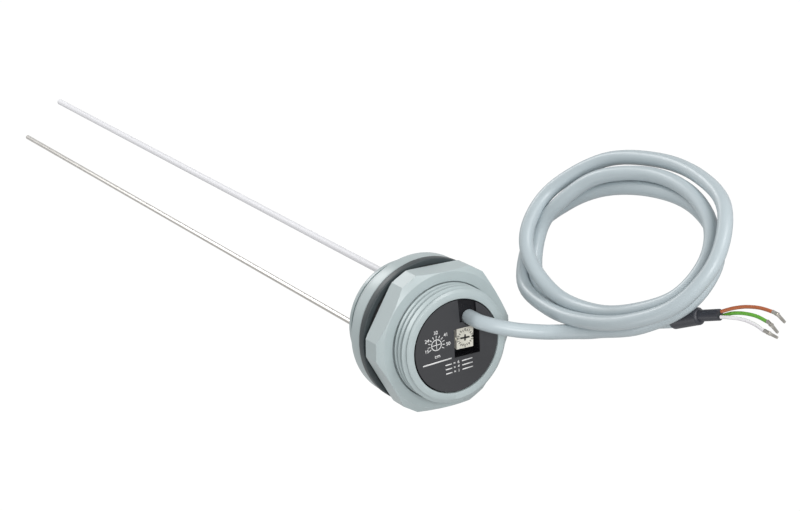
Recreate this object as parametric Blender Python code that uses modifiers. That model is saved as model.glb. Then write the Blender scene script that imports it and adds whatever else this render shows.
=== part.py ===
"""A tank level electrode: a threaded sensor head with a lock nut, two long rods and a coiled cable.

It lies on the floor as it comes to rest unheld, on the edge of its flange and the tip of its lower rod.
Metres, +Z up, and the rods point to -X. Along the sensor's axis, 0 is the face of the label, and what lies
towards the rods is negative.
"""

import math

import bmesh
import bpy
from mathutils import Matrix, Vector

mm = 0.001
GAP = 0.3 * mm
STEPS = 48

# Threaded housing, G 1 1/4
THREAD_RADIUS = 20.955 * mm
THREAD_PITCH = 2.309 * mm
THREAD_DEPTH = 1.479 * mm
HOUSING_WALL = 2.326 * mm
HOUSING_FRONT = 0.3 * mm
FLANGE_WIDTH = 5.4 * mm
FLANGE_FRONT = -21.45 * mm
FLANGE_THICKNESS = 5.8 * mm
FLANGE_EDGE = 0.4 * mm
NECK_WIDTH = 0.9 * mm

# Rear cap that carries the rods: a cup with a thick floor and a spigot in the housing's bore
CAP_WALL = 4.45 * mm
CAP_LENGTH = 9.85 * mm
CAP_EDGE = 1.5 * mm
CAP_FLOOR = 5.9 * mm
SPIGOT_LENGTH = 3.1 * mm
SPIGOT_WALL = 1.2 * mm

# Gaskets and nut
GASKET_OVERHANG = 0.3 * mm
GASKET_THICKNESS = 2.95 * mm
RING_WIDTH = 3.85 * mm
RING_THICKNESS = 1.8 * mm
SEAT_CLEARANCE = 0.3 * mm
NUT_CLEARANCE = 0.2 * mm
NUT_WALL = 4.15 * mm
NUT_CORNER_RATIO = 1.0876
NUT_THICKNESS = 8.7 * mm
NUT_FACE_INSET = 0.2 * mm
NUT_CHAMFER = 1.5 * mm
NUT_COUNTERSINK = 0.3 * mm

# Rods
ROD_REACH = 362.9 * mm
ROD_TURN = math.radians(19.2)
STEEL_RADIUS = 1.0 * mm
SHEATH_RADIUS = 1.3 * mm
SHEATH_BORE_SHARE = 0.808
SHEATH_TIP = 1.6 * mm
CORE_SHARE = 0.577
ROD_INSIDE = 4.0 * mm
ROD_CLEARANCE = 0.15 * mm
ROD_MARGIN = 0.3 * mm
BUSH_WALL = 1.5 * mm
BUSH_COLLAR = 1.2 * mm
BUSH_COLLAR_THICKNESS = 1.0 * mm
BUSH_INSERTED = 1.0 * mm
BUSH_STANDS = 1.4 * mm
SEAL_SECTION = 0.5 * mm

# Face: label, potting, switch and cable notch. Places on it are in parts of the bore's radius
LABEL_GAP = 0.45 * mm
LABEL_AT = (0.1 * mm, -0.1 * mm)
LABEL_THICKNESS = 0.3 * mm
WINDOW_SHARE = 0.606
WINDOW_PLACE = (0.1825, -0.191)
WINDOW_TURN = math.radians(-58.5)
NOTCH_SHARE = 0.408
NOTCH_ASIDE = 0.6 * mm
NOTCH_BEHIND = 1.0 * mm
NOTCH_TURN = math.radians(36)
CABLE_PLACE = (0.6472, 0.0058)
CABLE_CLEARANCE = 0.3 * mm
WELL_DEPTH = 5.0 * mm
CAST_CLEARANCE = 0.15 * mm
SWITCH_WIDTH = 6.8 * mm
SWITCH_LENGTH = 7.7 * mm
SWITCH_TURN = math.radians(-60.5)
SWITCH_PLACE = (0.2216, -0.1983)
SWITCH_FRONT = -2.0 * mm
SWITCH_HEIGHT = 4.6 * mm
SWITCH_NOTCH = 1.0 * mm
ROTOR_RADIUS = 2.3 * mm
ROTOR_THICKNESS = 1.6 * mm
ROTOR_SLOT = 0.7 * mm
PIN_PITCH = 5.08 * mm
PIN_RADIUS = 0.28 * mm
PIN_THROUGH = 1.0 * mm

# Circuit board, with its pieces' places also in parts of the bore's radius
BOARD_GAP = 0.6 * mm
BOARD_THICKNESS = 1.6 * mm
CHIP_SIZE = (1.6 * mm, 5.0 * mm, 4.0 * mm)
CHIP_PLACE = (-0.525, 0.41)
REGULATOR_SIZE = (1.8 * mm, 6.5 * mm, 3.5 * mm)
REGULATOR_PLACE = (0.117, 0.641)
CAPACITOR_RADIUS = 3.15 * mm
CAPACITOR_HEIGHT = 5.4 * mm
CAPACITOR_PLACE = (-0.467, -0.467)
LEAD_WIRE_RADIUS = 0.5 * mm

# Cable, 5.2 mm across. Points are from below the middle of the label, in millimetres
CABLE_RADIUS = 2.6 * mm
CABLE_POCKET = 2.7 * mm
LEAD_POINTS = [
    (6.2, 11.2, 28.2),
    (9.5, 11.8, 26.1),
    (12.4, 12.8, 22.8),
    (15.1, 14.1, 18.9),
    (17.8, 15.8, 15.0),
    (20.7, 17.6, 11.6),
    (23.6, 19.4, 9.2),
    (25.1, 20.4, 8.3),
]
COIL_MIDDLE = (30.6 * mm, 55.9 * mm)
COIL_TURN = math.radians(8.6)
COIL_LONG = 42.4 * mm
COIL_SHORT = 27.2 * mm
COIL_BAND = 8.4 * mm
COIL_HEIGHT = 12.0 * mm

# Heat-shrink sleeve at the end of the cable, and what comes out of it
SLEEVE_POINTS = [(65.6, 39.8, 3.1), (70.4, 42.2, 3.1), (75.4, 44.7, 3.1)]
SLEEVE_RADIUS = 2.95 * mm
CUFF_POINTS = [(75.7, 44.9, 3.1), (78.5, 46.1, 2.6), (82.2, 47.7, 2.0)]
CUFF_RADIUS = 1.85 * mm
WIRE_RADIUS = 0.62 * mm
WIRES = {
    "brown": (
        (0.42, 0.12, 0.03),
        [(82.5, 48.8, 2.5), (86.3, 50.9, 1.9), (90.6, 53.0, 1.0), (95.9, 54.7, 0.8), (101.4, 55.5, 0.8)],
        [(102.0, 55.5, 0.8), (103.6, 55.4, 0.8), (108.0, 54.0, 0.8)],
    ),
    "green": (
        (0.05, 0.30, 0.10),
        [(82.9, 48.0, 1.2), (86.4, 49.0, 0.9), (91.0, 50.2, 0.8), (96.0, 51.3, 0.8), (101.0, 51.9, 0.8)],
        [(101.6, 51.9, 0.8), (103.2, 51.5, 0.8), (107.1, 50.1, 0.8)],
    ),
    "white": (
        (0.80, 0.80, 0.78),
        [(83.3, 47.1, 2.5), (87.0, 47.5, 1.6), (91.2, 47.8, 0.9), (96.4, 48.3, 0.8), (101.6, 48.8, 0.8)],
        [(102.2, 48.9, 0.8), (103.8, 48.8, 0.8), (107.9, 48.6, 0.8)],
    ),
}
FERRULE_RADIUS = 0.7 * mm
TIP_RADIUS = 0.5 * mm

# Places that follow from the sizes
ROOT_RADIUS = THREAD_RADIUS - THREAD_DEPTH
BORE_RADIUS = ROOT_RADIUS - HOUSING_WALL
FLANGE_RADIUS = THREAD_RADIUS + FLANGE_WIDTH
FLANGE_BACK = FLANGE_FRONT - FLANGE_THICKNESS
CAP_RADIUS = BORE_RADIUS + CAP_WALL
CAP_FRONT = FLANGE_BACK - GAP
CAP_BACK = CAP_FRONT - CAP_LENGTH
CAP_INNER = CAP_BACK + CAP_FLOOR
SPIGOT_RADIUS = BORE_RADIUS - GAP
CUP_RADIUS = SPIGOT_RADIUS - SPIGOT_WALL
SPIGOT_FRONT = CAP_FRONT + SPIGOT_LENGTH
ROD_INNER_END = CAP_INNER + ROD_INSIDE
LABEL_RADIUS = BORE_RADIUS - LABEL_GAP
WINDOW_SIZE = WINDOW_SHARE * BORE_RADIUS
NOTCH_WIDTH = NOTCH_SHARE * BORE_RADIUS
SHEATH_BORE = SHEATH_BORE_SHARE * SHEATH_RADIUS
CORE_RADIUS = CORE_SHARE * SHEATH_RADIUS
BOARD_RADIUS = BORE_RADIUS - BOARD_GAP
GASKET_RADIUS = FLANGE_RADIUS + GASKET_OVERHANG
GASKET_BACK = FLANGE_FRONT + GAP
RING_BACK = GASKET_BACK + GASKET_THICKNESS + GAP
NUT_BACK = RING_BACK + RING_THICKNESS + GAP
NUT_FRONT = NUT_BACK + NUT_THICKNESS
NUT_FLAT = THREAD_RADIUS + NUT_WALL
NUT_CORNER = NUT_FLAT * NUT_CORNER_RATIO
NUT_FACE_RADIUS = NUT_FLAT - NUT_FACE_INSET
NUT_BORE = THREAD_RADIUS + NUT_CLEARANCE
SEAT_BORE = THREAD_RADIUS + SEAT_CLEARANCE
RING_RADIUS = THREAD_RADIUS + RING_WIDTH
POTTING_FRONT = -LABEL_THICKNESS - GAP
SWITCH_BACK = SWITCH_FRONT - SWITCH_HEIGHT
BOARD_FRONT = SWITCH_BACK - GAP
BOARD_BACK = BOARD_FRONT - BOARD_THICKNESS
POTTING_BACK = BOARD_FRONT + GAP
ROD_OUT = CUP_RADIUS - ROD_MARGIN - BUSH_COLLAR - BUSH_WALL - ROD_CLEARANCE - SHEATH_RADIUS
ROD_Y = ROD_OUT * math.cos(ROD_TURN)
ROD_UP = ROD_OUT * math.sin(ROD_TURN)
SHEATH_LOW = ROD_UP + SHEATH_RADIUS
CONTACT_AT = FLANGE_BACK + FLANGE_EDGE
TILT = math.atan((FLANGE_RADIUS - SHEATH_LOW) / (ROD_REACH - SHEATH_TIP + CONTACT_AT))
LABEL_HEIGHT = FLANGE_RADIUS * math.cos(TILT) - CONTACT_AT * math.sin(TILT)
REACH_BACK = ROD_REACH * math.cos(TILT) + (ROD_UP + STEEL_RADIUS) * math.sin(TILT)
REACH_FRONT = HOUSING_FRONT * math.cos(TILT) + ROOT_RADIUS * math.sin(TILT)
LABEL_X = (REACH_BACK - REACH_FRONT) / 2

for old in list(bpy.data.objects):
    bpy.data.objects.remove(old, do_unlink=True)

part = bpy.data.collections.new("tank_level_electrode")
tools = bpy.data.collections.new("cutters")
bpy.context.scene.collection.children.link(part)
bpy.context.scene.collection.children.link(tools)
tools.hide_render = True


def empty(name, place, turn=(0, 0, 0)):
    thing = bpy.data.objects.new(name, None)
    thing.location = place
    thing.rotation_euler = turn
    part.objects.link(thing)
    return thing


sensor = empty("sensor_frame", (LABEL_X, 0, LABEL_HEIGHT), (0, -TILT, 0))
floor = empty("floor_under_label", (LABEL_X, 0, 0))


def material(name, colour, roughness, metallic=0.0):
    made = bpy.data.materials.new(name)
    made.use_nodes = True
    shader = made.node_tree.nodes["Principled BSDF"]
    shader.inputs["Base Color"].default_value = (*colour, 1)
    shader.inputs["Roughness"].default_value = roughness
    shader.inputs["Metallic"].default_value = metallic
    return made


def place(name, data, look, parent=sensor, at=(0, 0, 0), turn=(0, 0, 0)):
    """An object of the part, or a cutter where it has no look."""
    thing = bpy.data.objects.new(name, data)
    thing.parent = parent
    thing.location = at
    thing.rotation_euler = turn
    if look:
        part.objects.link(thing)
        data.materials.append(look)
    else:
        tools.objects.link(thing)
        thing.hide_render = True
        thing.display_type = "WIRE"
    return thing


def mesh_from(name, bm):
    bmesh.ops.recalc_face_normals(bm, faces=bm.faces)
    mesh = bpy.data.meshes.new(name)
    bm.to_mesh(mesh)
    bm.free()
    return mesh


def turned(name, profile, look=None, steps=STEPS, at=(0, 0, 0), closed=True, parent=sensor):
    """A profile of (along, radius) points turned round the X axis, listed from the back, outside and front."""
    mesh = bpy.data.meshes.new(name)
    points = [(along, 0, radius) for along, radius in profile]
    edges = [(i, i + 1) for i in range(len(points) - 1)]
    if closed:
        edges.append((len(points) - 1, 0))
    mesh.from_pydata(points, edges, [])
    thing = place(name, mesh, look, parent, at)
    screw = thing.modifiers.new("turn", "SCREW")
    screw.axis = "X"
    screw.steps = screw.render_steps = steps
    screw.use_merge_vertices = True
    screw.merge_threshold = 0.00001
    screw.use_normal_flip = True
    return thing


def ring(name, back, front, inner, outer, look=None, **options):
    return turned(name, [(back, inner), (back, outer), (front, outer), (front, inner)], look, **options)


def plug(name, back, front, radius, look=None, edge=0.0, **options):
    profile = [(back, 0), (back, radius - edge), (back + edge, radius)]
    profile += [(front - edge, radius), (front, radius - edge), (front, 0)]
    if not edge:
        profile = [(back, 0), (back, radius), (front, radius), (front, 0)]
    return turned(name, profile, look, closed=False, **options)


def block(name, size, look=None, at=(0, 0, 0), turn=0.0, bevel=0.0):
    """A box with sizes along the axis, sideways and upwards, turned about the axis."""
    bm = bmesh.new()
    bmesh.ops.create_cube(bm, size=1, matrix=Matrix.Diagonal((*size, 1)))
    if bevel:
        bmesh.ops.bevel(bm, geom=bm.edges[:], offset=bevel, segments=2, affect="EDGES", profile=0.5)
    return place(name, mesh_from(name, bm), look, at=at, turn=(turn, 0, 0))


def cut(thing, *cutters, how="DIFFERENCE"):
    for cutter in cutters:
        boolean = thing.modifiers.new(cutter.name, "BOOLEAN")
        boolean.object = cutter
        boolean.operation = how
        boolean.solver = "EXACT"


def tube(name, points, radius, look, parent=floor, scale=mm, resolution=3):
    """A wire or cable along points, as a curve with a round bevel."""
    curve = bpy.data.curves.new(name, "CURVE")
    curve.dimensions = "3D"
    curve.bevel_depth = radius
    curve.bevel_resolution = resolution
    curve.use_fill_caps = True
    spline = curve.splines.new("POLY")
    spline.points.add(len(points) - 1)
    for point, given in zip(spline.points, points):
        point.co = (*(Vector(given) * scale), 1)
    return place(name, curve, look, parent)


def across(at, along=0.0):
    """A place on the label's plane, as (sideways, up), moved along the axis."""
    return Vector((along, at[0], at[1]))


def shifted(at, sideways, up, turn):
    """A place near another on the label's plane, in directions turned about the axis."""
    return (
        at[0] + sideways * math.cos(turn) - up * math.sin(turn),
        at[1] + sideways * math.sin(turn) + up * math.cos(turn),
    )


# Looks, from the photograph
body_plastic = material("body_plastic", (0.47, 0.53, 0.56), 0.42)
gasket_rubber = material("gasket_rubber", (0.035, 0.042, 0.05), 0.6)
label_print = material("label_print", (0.07, 0.07, 0.075), 0.5)
potting_resin = material("potting_resin", (0.01, 0.01, 0.012), 0.12)
switch_plastic = material("switch_plastic", (0.55, 0.50, 0.38), 0.5)
rotor_plastic = material("rotor_plastic", (0.62, 0.57, 0.45), 0.5)
board_laminate = material("board_laminate", (0.03, 0.20, 0.08), 0.5)
component_black = material("component_black", (0.02, 0.02, 0.02), 0.5)
component_can = material("component_can", (0.55, 0.56, 0.58), 0.3, 1.0)
bright_steel = material("bright_steel", (0.60, 0.60, 0.60), 0.25, 1.0)
white_sheath = material("white_sheath", (0.82, 0.83, 0.82), 0.4)
bush_plastic = material("bush_plastic", (0.70, 0.70, 0.66), 0.45)
cable_jacket = material("cable_jacket", (0.50, 0.54, 0.57), 0.45)
sleeve_plastic = material("sleeve_plastic", (0.036, 0.043, 0.055), 0.4)
tinned_metal = material("tinned_metal", (0.66, 0.66, 0.64), 0.3, 1.0)
wire_looks = {name: material(f"wire_{name}", wire[0], 0.4) for name, wire in WIRES.items()}


# Housing, with its thread
def thread_row(row, column):
    """Place along the axis and radius of one point of the thread, which is cut off at the face and at the neck."""
    turn, step = divmod(row, 4)
    part_of_pitch = (0.0, 0.22, 0.5, 0.72)[step]
    along = HOUSING_FRONT + THREAD_PITCH * (1.0 - turn - part_of_pitch - column / STEPS)
    chamfer = ROOT_RADIUS + (HOUSING_FRONT - along) * 1.25
    radius = min(THREAD_RADIUS if step < 2 else ROOT_RADIUS, chamfer)
    neck = FLANGE_FRONT + NECK_WIDTH
    if along > HOUSING_FRONT:
        return HOUSING_FRONT, ROOT_RADIUS
    if along < neck:
        return neck, ROOT_RADIUS
    return along, max(radius, ROOT_RADIUS)


def housing():
    """Rows of points round the axis: first the plain profile, and then the turns of the thread."""
    profile = [
        (FLANGE_FRONT + NECK_WIDTH, ROOT_RADIUS),
        (FLANGE_FRONT, ROOT_RADIUS),
        (FLANGE_FRONT, FLANGE_RADIUS - FLANGE_EDGE),
        (FLANGE_FRONT - FLANGE_EDGE, FLANGE_RADIUS),
        (FLANGE_BACK + FLANGE_EDGE, FLANGE_RADIUS),
        (FLANGE_BACK, FLANGE_RADIUS - FLANGE_EDGE),
        (FLANGE_BACK, BORE_RADIUS),
        (HOUSING_FRONT, BORE_RADIUS),
    ]
    length = HOUSING_FRONT - FLANGE_FRONT - NECK_WIDTH
    rows = 4 * math.ceil(length / THREAD_PITCH + 1) + 1
    bm = bmesh.new()
    across_rows = len(profile) + rows
    bmesh.ops.create_grid(bm, x_segments=across_rows, y_segments=STEPS, size=1)
    for vert in bm.verts:
        row = round((vert.co.x + 1) / 2 * across_rows)
        column = round((vert.co.y + 1) / 2 * STEPS)
        if row < len(profile):
            along, radius = profile[row]
        elif row < across_rows:
            along, radius = thread_row(row - len(profile), column)
        else:
            along, radius = profile[0]
        angle = math.tau * column / STEPS
        vert.co = (along, radius * math.sin(angle), radius * math.cos(angle))
    bmesh.ops.remove_doubles(bm, verts=bm.verts, dist=0.000001)
    bmesh.ops.dissolve_degenerate(bm, edges=bm.edges, dist=0.0000005)
    return place("housing", mesh_from("housing", bm), body_plastic)


housing()

# Rear cap, with a counterbored hole for each rod
ROD_PLACES = {"steel": (-ROD_Y, ROD_UP), "sheath": (ROD_Y, -ROD_UP)}
ROD_RADII = {"steel": STEEL_RADIUS, "sheath": SHEATH_RADIUS}
SEAL_BACK = CAP_INNER - BUSH_INSERTED - GAP - 2 * SEAL_SECTION
POCKET_FLOOR = SEAL_BACK - ROD_CLEARANCE

rear_cap = turned(
    "rear_cap",
    [
        (CAP_BACK, 0),
        (CAP_BACK, CAP_RADIUS - CAP_EDGE),
        (CAP_BACK + 0.3 * CAP_EDGE, CAP_RADIUS - 0.3 * CAP_EDGE),
        (CAP_BACK + CAP_EDGE, CAP_RADIUS),
        (CAP_FRONT, CAP_RADIUS),
        (CAP_FRONT, SPIGOT_RADIUS),
        (SPIGOT_FRONT, SPIGOT_RADIUS),
        (SPIGOT_FRONT, CUP_RADIUS),
        (CAP_INNER, CUP_RADIUS),
        (CAP_INNER, 0),
    ],
    body_plastic,
    closed=False,
)
for name, at in ROD_PLACES.items():
    hole = ROD_RADII[name] + ROD_CLEARANCE
    pocket = hole + BUSH_WALL + ROD_CLEARANCE
    stepped = [(CAP_BACK - mm, 0), (CAP_BACK - mm, hole), (POCKET_FLOOR, hole)]
    stepped += [(POCKET_FLOOR, pocket), (CAP_INNER + mm, pocket), (CAP_INNER + mm, 0)]
    cut(rear_cap, turned(f"{name}_hole", stepped, at=across(at), steps=24, closed=False))


# Gaskets and lock nut
ring(
    "flange_gasket",
    GASKET_BACK,
    GASKET_BACK + GASKET_THICKNESS,
    SEAT_BORE,
    GASKET_RADIUS,
    gasket_rubber,
)
ring(
    "slip_ring",
    RING_BACK,
    RING_BACK + RING_THICKNESS,
    SEAT_BORE,
    RING_RADIUS,
    gasket_rubber,
)


def lock_nut():
    """A hexagon with its corners cut off, kept inside a turned ring that carries its chamfer and its bore."""
    bm = bmesh.new()
    bmesh.ops.create_cone(
        bm,
        cap_ends=True,
        segments=12,
        radius1=NUT_CORNER,
        radius2=NUT_CORNER,
        depth=NUT_THICKNESS + 2 * mm,
    )
    half_facet = math.radians(30) - math.acos(1 / NUT_CORNER_RATIO)
    for vert in bm.verts:
        corner_number, side = divmod(round(math.degrees(math.atan2(vert.co.y, vert.co.x)) / 30), 2)
        angle = corner_number * math.radians(60) + (2 * side - 1) * half_facet
        vert.co = (vert.co.z, NUT_CORNER * math.cos(angle), NUT_CORNER * math.sin(angle))
    middle = (NUT_BACK + NUT_FRONT) / 2
    nut = place("lock_nut", mesh_from("lock_nut", bm), body_plastic, at=(middle, 0, 0))
    drop = NUT_CHAMFER / (NUT_CORNER - NUT_FACE_RADIUS) * (NUT_CORNER + mm - NUT_FACE_RADIUS)
    shape = turned(
        "nut_shape",
        [
            (NUT_BACK, NUT_BORE),
            (NUT_BACK, NUT_CORNER + mm),
            (NUT_FRONT - drop, NUT_CORNER + mm),
            (NUT_FRONT, NUT_FACE_RADIUS),
            (NUT_FRONT, NUT_BORE + NUT_COUNTERSINK),
            (NUT_FRONT - NUT_COUNTERSINK, NUT_BORE),
        ],
    )
    cut(nut, shape, how="INTERSECT")


lock_nut()

def on_bore(share):
    return (share[0] * BORE_RADIUS, share[1] * BORE_RADIUS)


WINDOW_AT, CABLE_AT, SWITCH_AT = (on_bore(share) for share in (WINDOW_PLACE, CABLE_PLACE, SWITCH_PLACE))

# Label and potting resin. The resin has a well round the switch, and a hole for the cable
window = block(
    "window",
    (-2 * BOARD_BACK, WINDOW_SIZE, WINDOW_SIZE),
    at=across(WINDOW_AT),
    turn=WINDOW_TURN,
)

# The slot is open at the rim of the label, and reaches a little past the middle of the cable, with a round
# hole for the cable itself
NOTCH_REACH = BORE_RADIUS
slot_at = shifted(CABLE_AT, NOTCH_REACH / 2 - NOTCH_BEHIND, NOTCH_ASIDE, NOTCH_TURN)
slot = block("label_slot", (2 * mm, NOTCH_REACH, NOTCH_WIDTH), at=across(slot_at), turn=NOTCH_TURN)
slot_end = plug(
    "label_slot_end",
    -1 * mm,
    1 * mm,
    CABLE_RADIUS + CABLE_CLEARANCE,
    at=across(CABLE_AT),
    steps=32,
)

label = plug("label", -LABEL_THICKNESS, 0, LABEL_RADIUS, label_print, at=across(LABEL_AT))
cut(label, window, slot, slot_end)

potting = plug("potting", POTTING_BACK, POTTING_FRONT, LABEL_RADIUS, potting_resin)
cable_hole = plug(
    "cable_hole",
    BOARD_FRONT,
    WELL_DEPTH,
    CABLE_RADIUS + CAST_CLEARANCE,
    at=across(CABLE_AT),
    steps=24,
)
well = block(
    "well",
    (2 * WELL_DEPTH, WINDOW_SIZE, WINDOW_SIZE),
    at=across(WINDOW_AT),
    turn=WINDOW_TURN,
)
switch_hole = block(
    "switch_hole",
    (-2 * BOARD_BACK, SWITCH_WIDTH + 2 * CAST_CLEARANCE, SWITCH_LENGTH + 2 * CAST_CLEARANCE),
    at=across(SWITCH_AT),
    turn=SWITCH_TURN,
)
cut(potting, well, switch_hole, cable_hole)

# Rotary switch: a body with side notches, and a rotor that a screwdriver turns
switch_middle = (SWITCH_FRONT + SWITCH_BACK) / 2
switch_body = block(
    "switch_body",
    (SWITCH_HEIGHT, SWITCH_WIDTH, SWITCH_LENGTH),
    switch_plastic,
    at=across(SWITCH_AT, switch_middle),
    turn=SWITCH_TURN,
    bevel=0.15 * mm,
)
cut(
    switch_body,
    plug(
        "rotor_seat",
        SWITCH_FRONT - ROTOR_THICKNESS - GAP,
        SWITCH_FRONT + mm,
        ROTOR_RADIUS + GAP,
        at=across(SWITCH_AT),
        steps=32,
    ),
)
for side in (-1, 1):
    at = shifted(SWITCH_AT, side * SWITCH_WIDTH / 2, 0, SWITCH_TURN)
    cut(
        switch_body,
        block(
            f"switch_notch_{side}",
            (2 * SWITCH_NOTCH, SWITCH_NOTCH, SWITCH_NOTCH),
            at=across(at, SWITCH_FRONT),
            turn=SWITCH_TURN,
        ),
    )

rotor = plug(
    "switch_rotor",
    -ROTOR_THICKNESS,
    0,
    ROTOR_RADIUS,
    rotor_plastic,
    edge=0.1 * mm,
    steps=32,
    at=across(SWITCH_AT, SWITCH_FRONT),
)
rotor_slots = [
    block(
        "rotor_slot",
        (2 * ROTOR_SLOT, 1.7 * ROTOR_RADIUS, ROTOR_SLOT),
        at=across(SWITCH_AT, SWITCH_FRONT),
        turn=SWITCH_TURN,
    ),
    block(
        "rotor_cross_slot",
        (2 * ROTOR_SLOT, ROTOR_SLOT, ROTOR_RADIUS),
        at=across(SWITCH_AT, SWITCH_FRONT),
        turn=SWITCH_TURN,
    ),
]
cut(rotor, *rotor_slots)

# Circuit board, on which the switch stands
board = plug("circuit_board", BOARD_BACK, BOARD_FRONT, BOARD_RADIUS, board_laminate)
corners = [(-1, -1), (1, -1), (1, 1), (-1, 1)]
for number, (sideways, up) in enumerate(corners, 1):
    at = shifted(SWITCH_AT, sideways * PIN_PITCH / 2, up * PIN_PITCH / 2, SWITCH_TURN)
    plug(
        f"switch_pin_{number}",
        BOARD_BACK - PIN_THROUGH,
        SWITCH_BACK - GAP / 3,
        PIN_RADIUS,
        tinned_metal,
        at=across(at),
        steps=12,
    )
    hole = plug(
        f"pin_hole_{number}",
        BOARD_BACK - mm,
        BOARD_FRONT + mm,
        PIN_RADIUS + 0.2 * mm,
        at=across(at),
        steps=12,
    )
    cut(board, hole)

for name, size, share in (
    ("control_chip", CHIP_SIZE, CHIP_PLACE),
    ("voltage_regulator", REGULATOR_SIZE, REGULATOR_PLACE),
):
    middle = BOARD_BACK - GAP / 3 - size[0] / 2
    block(name, size, component_black, at=across(on_bore(share), middle), bevel=0.1 * mm)
can_front = BOARD_BACK - GAP / 3
plug(
    "filter_capacitor",
    can_front - CAPACITOR_HEIGHT,
    can_front,
    CAPACITOR_RADIUS,
    component_can,
    edge=0.4 * mm,
    steps=24,
    at=across(on_bore(CAPACITOR_PLACE)),
)

# Rods, each through a seal and a bush, and its wire to the board
plug(
    "steel_rod",
    -ROD_REACH,
    ROD_INNER_END,
    STEEL_RADIUS,
    bright_steel,
    edge=0.2 * mm,
    steps=16,
    at=across(ROD_PLACES["steel"]),
)
SHEATH_FRONT = CAP_INNER + BUSH_STANDS + mm
turned(
    "rod_sheath",
    [
        (-ROD_REACH, 0),
        (-ROD_REACH, SHEATH_RADIUS / 2),
        (-ROD_REACH + SHEATH_TIP / 4, SHEATH_RADIUS * 0.87),
        (-ROD_REACH + SHEATH_TIP, SHEATH_RADIUS),
        (SHEATH_FRONT, SHEATH_RADIUS),
        (SHEATH_FRONT, SHEATH_BORE),
        (-ROD_REACH + SHEATH_TIP, SHEATH_BORE),
        (-ROD_REACH + SHEATH_TIP, 0),
    ],
    white_sheath,
    steps=16,
    at=across(ROD_PLACES["sheath"]),
    closed=False,
)
plug(
    "sheathed_rod",
    -ROD_REACH + SHEATH_TIP + GAP,
    ROD_INNER_END,
    CORE_RADIUS,
    bright_steel,
    steps=16,
    at=across(ROD_PLACES["sheath"]),
)
for name, at in ROD_PLACES.items():
    bore = ROD_RADII[name] + ROD_CLEARANCE
    outer = bore + BUSH_WALL
    bush_back = CAP_INNER - BUSH_INSERTED
    collar_back = CAP_INNER + ROD_CLEARANCE
    turned(
        f"{name}_rod_bush",
        [
            (bush_back, bore),
            (bush_back, outer),
            (collar_back, outer),
            (collar_back, outer + BUSH_COLLAR),
            (collar_back + BUSH_COLLAR_THICKNESS, outer + BUSH_COLLAR),
            (collar_back + BUSH_COLLAR_THICKNESS, outer),
            (CAP_INNER + BUSH_STANDS, outer),
            (CAP_INNER + BUSH_STANDS, bore),
        ],
        bush_plastic,
        steps=24,
        at=across(at),
    )
    middle = SEAL_BACK + SEAL_SECTION
    circle = [math.tau * k / 8 for k in range(8)]
    turned(
        f"{name}_rod_seal",
        [
            (
                middle - SEAL_SECTION * math.cos(angle),
                bore + SEAL_SECTION + SEAL_SECTION * math.sin(angle),
            )
            for angle in circle
        ],
        gasket_rubber,
        steps=24,
        at=across(at),
    )
    inner = Vector((ROD_INNER_END + GAP, *at))
    at_board = Vector((BOARD_BACK - GAP, *at))
    lift = Vector((0, 0, mm))
    tube(
        f"{name}_rod_wire",
        [inner, inner.lerp(at_board, 0.2), inner.lerp(at_board, 0.5) + lift, inner.lerp(at_board, 0.8), at_board],
        LEAD_WIRE_RADIUS,
        tinned_metal,
        parent=sensor,
        scale=1,
        resolution=1,
    )

# Cable: its free length, its coil, and the sleeve, wires and pins at its end
tilt_turn = Matrix.Rotation(-TILT, 3, "Y")


def on_floor_frame(point):
    """A point of the sensor's frame, from below the middle of the label, in millimetres."""
    return (tilt_turn @ Vector(point) + Vector((0, 0, LABEL_HEIGHT))) / mm


lead_start = [on_floor_frame(across(CABLE_AT, along * mm)) for along in (-2.7, 0.3, 3.3)]
lead_start[0] = on_floor_frame(across(CABLE_AT, -CABLE_POCKET))
tube("cable_lead", [*lead_start, *LEAD_POINTS], CABLE_RADIUS, cable_jacket)
for number, name in enumerate(WIRES):
    angle = math.tau * number / 3
    spread = CABLE_RADIUS - 2 * WIRE_RADIUS
    at = shifted(CABLE_AT, spread * math.cos(angle), spread * math.sin(angle), 0)
    start = Vector((-CABLE_POCKET - GAP, *at))
    end = Vector((BOARD_FRONT + GAP, *at))
    tube(
        f"inner_wire_{name}",
        [start, end],
        WIRE_RADIUS,
        wire_looks[name],
        parent=sensor,
        scale=1,
        resolution=1,
    )


def cable_coil():
    """The coiled length as one closed oval ring."""
    bpy.ops.mesh.primitive_torus_add(
        major_segments=40,
        minor_segments=12,
        major_radius=COIL_LONG,
        minor_radius=COIL_BAND,
    )
    made = bpy.context.object
    mesh = made.data
    bpy.data.objects.remove(made)
    mesh.transform(Matrix.Diagonal((1, COIL_SHORT / COIL_LONG, COIL_HEIGHT / 2 / COIL_BAND, 1)))
    at = (*COIL_MIDDLE, COIL_HEIGHT / 2 + 0.05 * mm)
    return place("cable_coil", mesh, cable_jacket, floor, at, (0, 0, COIL_TURN))


coil = cable_coil()
tube("sleeve", SLEEVE_POINTS, SLEEVE_RADIUS, sleeve_plastic)
tube("sleeve_cuff", CUFF_POINTS, CUFF_RADIUS, sleeve_plastic)
for name, (colour, points, tip) in WIRES.items():
    tube(f"wire_{name}", points, WIRE_RADIUS, wire_looks[name], resolution=1)

start, end = (Vector(SLEEVE_POINTS[k]) * mm for k in (0, -1))
direction = (end - start).normalized()
bm = bmesh.new()
channel_length = (end - start).length + 3 * mm
bmesh.ops.create_cone(
    bm,
    cap_ends=True,
    segments=24,
    radius1=SLEEVE_RADIUS + GAP,
    radius2=SLEEVE_RADIUS + GAP,
    depth=channel_length,
)
channel = place("sleeve_channel", mesh_from("sleeve_channel", bm), None, floor)
channel.location = start + direction * (channel_length / 2 - GAP)
channel.rotation_euler = direction.to_track_quat("Z", "Y").to_euler()
cut(coil, channel)


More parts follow.
